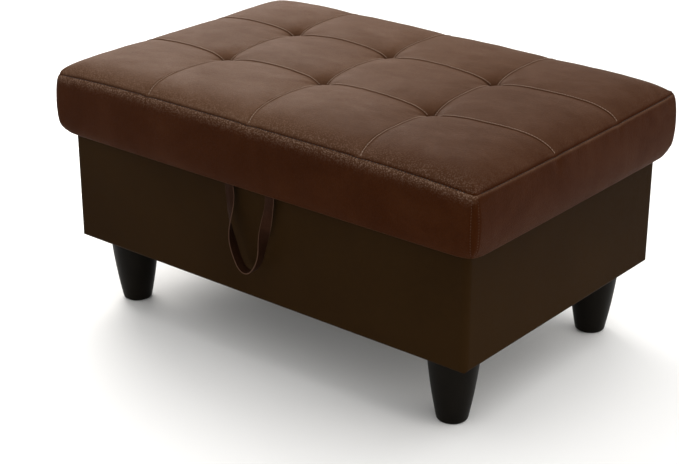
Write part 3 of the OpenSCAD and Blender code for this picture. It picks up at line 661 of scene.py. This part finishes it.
    ob.data.attributes.new("painted_highlight", "FLOAT", "POINT").data.foreach_set("value", np.concatenate(painted_highlight).astype(np.float32))
    return ob, arc, S, N, P, rings


lid, ARC, S_RING, N_RING, P_RING, RINGS = build_lid(0.0055)
give(lid, LID)
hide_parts("lid_cover_top", "lid_band_front", "lid_band_rear", "lid_band_left", "lid_band_right",
            "lid_fibre_wrap", "lid_foam", "lid_foam_edges", "tuft_ties")
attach(lid, "lid")


# ------------------------------------------------------------------ stitches
def stitch_rows(name, rows, mat, length=0.0034, pitch=0.0052, rad=0.00042, sink=0.0):
    """rows: lists of (points, normals) along each row; one short thread lies on the skin per pitch."""
    verts, faces = [], []
    for pts, nrm in rows:
        pts, nrm = np.asarray(pts), np.asarray(nrm)
        seg = np.linalg.norm(np.diff(pts, axis=0), axis=1)
        s = np.concatenate([[0], np.cumsum(seg)])
        if s[-1] < pitch:
            continue
        n = int(s[-1] / pitch)
        for k in range(n):
            a = (k + 0.5) * s[-1] / n - length / 2
            ts = np.linspace(a, a + length, 5)
            c = np.stack([np.interp(ts, s, pts[:, i]) for i in range(3)], 1)
            m = np.stack([np.interp(ts, s, nrm[:, i]) for i in range(3)], 1)
            m /= np.linalg.norm(m, axis=1)[:, None]
            t = c[-1] - c[0]
            t /= np.linalg.norm(t)
            lift = np.array([-0.0003, 0.00022, 0.00034, 0.00022, -0.0003]) - sink
            c = c + m * lift[:, None]
            side = np.cross(m, t)
            base = len(verts)
            for q in range(5):
                rr = rad * (0.72 if q in (0, 4) else 1.0)
                for h in range(6):
                    an = 2 * math.pi * h / 6
                    verts.append(c[q] + rr * (math.cos(an) * side[q] + math.sin(an) * m[q]))
            for q in range(4):
                for h in range(6):
                    i0, i1 = base + q * 6 + h, base + q * 6 + (h + 1) % 6
                    faces.append((i0, i1, i1 + 6, i0 + 6))
            faces.append(tuple(base + h for h in range(5, -1, -1)))
            faces.append(tuple(base + 24 + h for h in range(6)))
    ob = new_mesh(name, verts, faces)
    fix_normals(ob)
    give(ob, mat)
    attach(ob, "lid")
    return ob


def on_top(u, v):
    def at(u, v):
        x, y = corners(*place(u, v), HX, HY, CR)
        return np.stack([x, y, top_z(u, v)], 1)
    e = 0.0006
    c = at(u, v)
    n = np.cross(at(u + e, v) - at(u - e, v), at(u, v + e) - at(u, v - e))
    return c, n / np.linalg.norm(n, axis=1)[:, None]


rows = []
for t in TX:
    cuts = [-HY, TY[0], TY[1], HY]
    for a, b in zip(cuts, cuts[1:]):
        v = np.linspace(a + (0.008 if a != -HY else 0.002), b - (0.008 if b != HY else 0.002), 120)
        rows.append(on_top(np.full_like(v, t + 0.0026), v))
for t in TY:
    cuts = [-HX, *TX, HX]
    for a, b in zip(cuts, cuts[1:]):
        u = np.linspace(a + (0.008 if a != -HX else 0.002), b - (0.008 if b != HX else 0.002), 140)
        rows.append(on_top(u, np.full_like(u, t + 0.0026)))
stitch_rows("seam_stitches", rows, THREAD_TOP, 0.0040, 0.0048, 0.00060)


# a row along the welt of the edge seam, and both rows of the upright corner seams
rows = []


def band_point(k, f):
    low = range(5, len(BAND))          # below the welt
    fs = [BAND[i][1] for i in low]
    out = np.interp(f, fs, [RINGS[i][0][k] for i in low])
    z = np.interp(f, fs, [RINGS[i][1][k] for i in low])
    x = P_RING[k][0] + N_RING[k][0] * out
    y = P_RING[k][1] + N_RING[k][1] * out
    return (x, y, z)


for side in range(4):
    ks = [k for k in range(len(P_RING)) if ARC[k] > 0.012
          and (side == 0 and N_RING[k][1] < -0.99 or side == 1 and N_RING[k][0] > 0.99
               or side == 2 and N_RING[k][1] > 0.99 or side == 3 and N_RING[k][0] < -0.99)]
    ks.sort(key=lambda k: S_RING[k])
    pts = [(P_RING[k][0] + N_RING[k][0] * RINGS[3][0][k], P_RING[k][1] + N_RING[k][1] * RINGS[3][0][k],
            RINGS[3][1][k]) for k in ks]
    nrm = [(N_RING[k][0] * 0.3, N_RING[k][1] * 0.3, 1.0) for k in ks]
    rows.append((pts, nrm))
stitch_rows("edge_stitches", rows, THREAD, 0.0036, 0.0062, 0.00070)

rows = []
for sx in (-1, 1):
    for sy in (-1, 1):
        near = [k for k in range(len(P_RING)) if P_RING[k][0] * sx > 0 and P_RING[k][1] * sy > 0 and ARC[k] < 0.012]
        k0 = min(near, key=lambda k: ARC[k])
        for way in (-1, 1):
            ks = [k for k in near if (S_RING[k] - S_RING[k0]) * way > 0] or near
            k = min(ks, key=lambda k: abs(ARC[k] - 0.0027))
            pts = [band_point(k, f) for f in np.linspace(0.05, 0.94, 60)]
            rows.append((pts, [(N_RING[k][0], N_RING[k][1], 0.0)] * 60))
stitch_rows("corner_stitches", rows, THREAD_SIDE, 0.0030, 0.0046, 0.00034)

# ------------------------------------------------------------------ legs
leg_h = 0.125
chord = math.hypot(18.5, 125) * mm
big = ((chord / 2) ** 2 + 0.002 ** 2) / (2 * 0.002)
nxl, nzl = leg_h / chord, 0.0185 / chord
ccx, ccz = 0.03425 - nxl * (big - 0.002), leg_h / 2 + nzl * (big - 0.002)


def lathe_leg(name, x, y, node):
    prof = [(0.0, 0.0), (0.012, 0.0)]
    r0 = 0.0055
    base_r = ccx + math.sqrt(big ** 2 - (r0 - ccz) ** 2)
    for k in range(7):
        t = math.pi / 2 * k / 6
        prof.append((base_r - r0 + r0 * math.sin(t), r0 - r0 * math.cos(t)))
    for k in range(1, 41):
        z = r0 + (leg_h - 0.0012 - r0) * k / 40
        prof.append((ccx + math.sqrt(big ** 2 - (z - ccz) ** 2), z))
    prof += [(prof[-1][0] - 0.0005, leg_h - 0.0003), (prof[-1][0] - 0.0016, leg_h), (0.006, leg_h), (0.0, leg_h)]
    n = 96
    verts, faces = [(0, 0, 0)], []
    rings = prof[1:-1]
    for (r, z) in rings:
        for k in range(n):
            a = 2 * math.pi * k / n
            verts.append((r * math.cos(a), r * math.sin(a), z))
    verts.append((0, 0, leg_h))
    for k in range(n):
        faces.append((0, 1 + (k + 1) % n, 1 + k))
    for q in range(len(rings) - 1):
        for k in range(n):
            a, b = 1 + q * n + k, 1 + q * n + (k + 1) % n
            faces.append((a, b, b + n, a + n))
    top = len(verts) - 1
    b0 = 1 + (len(rings) - 1) * n
    for k in range(n):
        faces.append((b0 + k, b0 + (k + 1) % n, top))
    ob = new_mesh(name, [(vx + x, vy + y, vz) for vx, vy, vz in verts], faces)
    fix_normals(ob)
    give(ob, LEG)
    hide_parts(node)
    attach(ob, "base")
    return ob


for node in ("leg_front_left", "leg_front_right", "leg_rear_left", "leg_rear_right"):
    lo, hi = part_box(node)
    lathe_leg(node.replace("leg", "turned_leg"), (lo.x + hi.x) / 2, (lo.y + hi.y) / 2, node)

# ------------------------------------------------------------------ pull loop
W, T = 0.018, 0.0022
lo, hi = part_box("pull_loop")
root_z, drop = hi.z - 0.0012, (hi.z - 0.0012) - lo.z
root_y = -BY - 0.0107
span = 0.088
LPTS = [np.array((-span / 2, root_z)), np.array((-span * 0.45, root_z - 0.055)),
        np.array((-span * 0.37, lo.z + 0.0014)), np.array((0, lo.z + 0.0014))]


def loop_point(t):
    q = 1 - t
    p = q ** 3 * LPTS[0] + 3 * t * q * q * LPTS[1] + 3 * t * t * q * LPTS[2] + t ** 3 * LPTS[3]
    d = 3 * q * q * (LPTS[1] - LPTS[0]) + 6 * t * q * (LPTS[2] - LPTS[1]) + 3 * t * t * (LPTS[3] - LPTS[2])
    return p, d / np.linalg.norm(d)


def ease(t):
    t = min(1, max(0, t))
    return t * t * (3 - 2 * t)


def build_strap():
    n = 70
    # cross section of a folded, topstitched strap: thin at the stitch lines, rolled edges
    sec = []
    m = 26
    for k in range(m):
        a = 2 * math.pi * (k + 0.5) / m
        cx, sy = math.cos(a), math.sin(a)
        u = math.copysign(abs(cx) ** 0.35, cx)
        v = math.copysign(abs(sy) ** 0.6, sy)
        v *= 1 - 0.35 * math.exp(-((abs(u) - 0.74) / 0.08) ** 2) + 0.10 * math.exp(-((abs(u) - 0.93) / 0.08) ** 2)
        sec.append((u, v))
    rings = []
    for side in (-1, 1):
        ts = np.linspace(0, 1, n)
        part = []
        for t in ts:
            p, d = loop_point(t)
            a = math.radians(90 * ease((t - 0.1) / 0.5))
            y = root_y + T / 2 - T / 2 * math.cos(a) - W / 2 * math.sin(a)
            wob = 0.0009 * math.sin(9 * t + side) * t * (1 - t) * 4
            nv = np.array([-d[1], d[0]])
            wv = np.array([nv[0] * math.cos(a), -math.sin(a), nv[1] * math.cos(a)])
            hv = np.array([nv[0] * math.sin(a), math.cos(a), nv[1] * math.sin(a)])
            ring = []
            for (u, v) in sec:
                q = wv * u * W / 2 + hv * v * T / 2
                ring.append((side * (p[0] + wob + q[0]), y + q[1], p[1] + q[2]))
            part.append(ring)
        rings.append(part)
    # left half runs to the bottom, right half back up: mirror the ring order of the right half
    left = [r for r in rings[1]]
    right = [r for r in rings[0]]
    seq = left + right[::-1][1:]
    verts = [v for r in seq for v in r]
    faces = []
    L = len(seq)
    for i in range(L - 1):
        for k in range(m):
            a, b = i * m + k, i * m + (k + 1) % m
            faces.append((a, b, b + m, a + m))
    faces.append(tuple(range(m - 1, -1, -1)))
    faces.append(tuple((L - 1) * m + k for k in range(m)))
    ob = new_mesh("pull_strap", verts, faces)
    fix_normals(ob)
    edge = np.array([1.0 if abs(u) > 0.955 else (0.35 if abs(u) > 0.90 else 0.0) for u, v in sec] * L, dtype=np.float32)
    ob.data.attributes.new("nap_and_painted_light", "FLOAT", "POINT").data.foreach_set("value", edge)
    give(ob, STRAP)
    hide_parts("pull_loop")
    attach(ob, "pull_loop")
    return ob


build_strap()

# ------------------------------------------------------------------ floor and light
floor = new_mesh("floor", [(-14, -14, 0), (14, -14, 0), (14, 14, 0), (-14, 14, 0)], [(0, 1, 2, 3)], False)
fm = Mat("floor_paint")
fm.set(Specular_IOR_Level=0.25)
fn = fm.noise(1.3, 3)
give(floor, fm.out(fm.ramp(fm.to_range(fn, 0.3, 0.7), [(0, (0.86, 0.86, 0.855)), (1, (0.885, 0.885, 0.88))]),
                   fm.to_range(fn, 0.3, 0.7, 0.55, 0.6)))

world = bpy.data.worlds.new("world")
world.use_nodes = True
wt = world.node_tree
bg = wt.nodes["Background"]
bg.inputs["Color"].default_value = (1.0, 0.99, 0.975, 1)
# a soft room: an even glow, brighter high up behind the object on its left
dot = wt.nodes.new("ShaderNodeVectorMath")
dot.operation = "DOT_PRODUCT"
dot.inputs[1].default_value = Vector((-0.50, 0.62, 0.62)).normalized()
wt.links.new(wt.nodes.new("ShaderNodeTexCoord").outputs["Generated"], dot.inputs[0])
glow = wt.nodes.new("ShaderNodeMapRange")
glow.interpolation_type = "SMOOTHSTEP"
for key, val in (("From Min", 0.30), ("From Max", 0.95), ("To Min", 0.92), ("To Max", 1.14)):
    glow.inputs[key].default_value = val
wt.links.new(dot.outputs["Value"], glow.inputs["Value"])
wt.links.new(glow.outputs["Result"], bg.inputs["Strength"])
scene.world = world


def area(name, loc, target, size, energy, color=(1, 1, 1), shape="SQUARE", size_y=None):
    d = bpy.data.lights.new(name, "AREA")
    d.shape = "RECTANGLE" if size_y else shape
    d.size = size
    if size_y:
        d.size_y = size_y
    d.energy = energy
    d.color = color
    o = bpy.data.objects.new(name, d)
    o.location = loc
    o.rotation_euler = (Vector(target) - Vector(loc)).to_track_quat("-Z", "Y").to_euler()
    scene.collection.objects.link(o)
    return o


sun = bpy.data.lights.new("overhead", "SUN")
sun.energy = 0.95
sun.angle = math.radians(60)
so = bpy.data.objects.new("overhead", sun)
so.rotation_euler = (Vector((0, 0, 0)) - Vector((0.42, 0.50, 2.2))).to_track_quat("-Z", "Y").to_euler()
scene.collection.objects.link(so)
area("back_left_softbox", (-1.45, 0.70, 1.25), (-0.2, 0, 0.4), 1.5, 30, (1.0, 0.97, 0.93), size_y=1.0)
area("right_fill", (3.0, 0.7, 1.1), (0.3, 0, 0.25), 1.8, 17, (1.0, 0.96, 0.90))
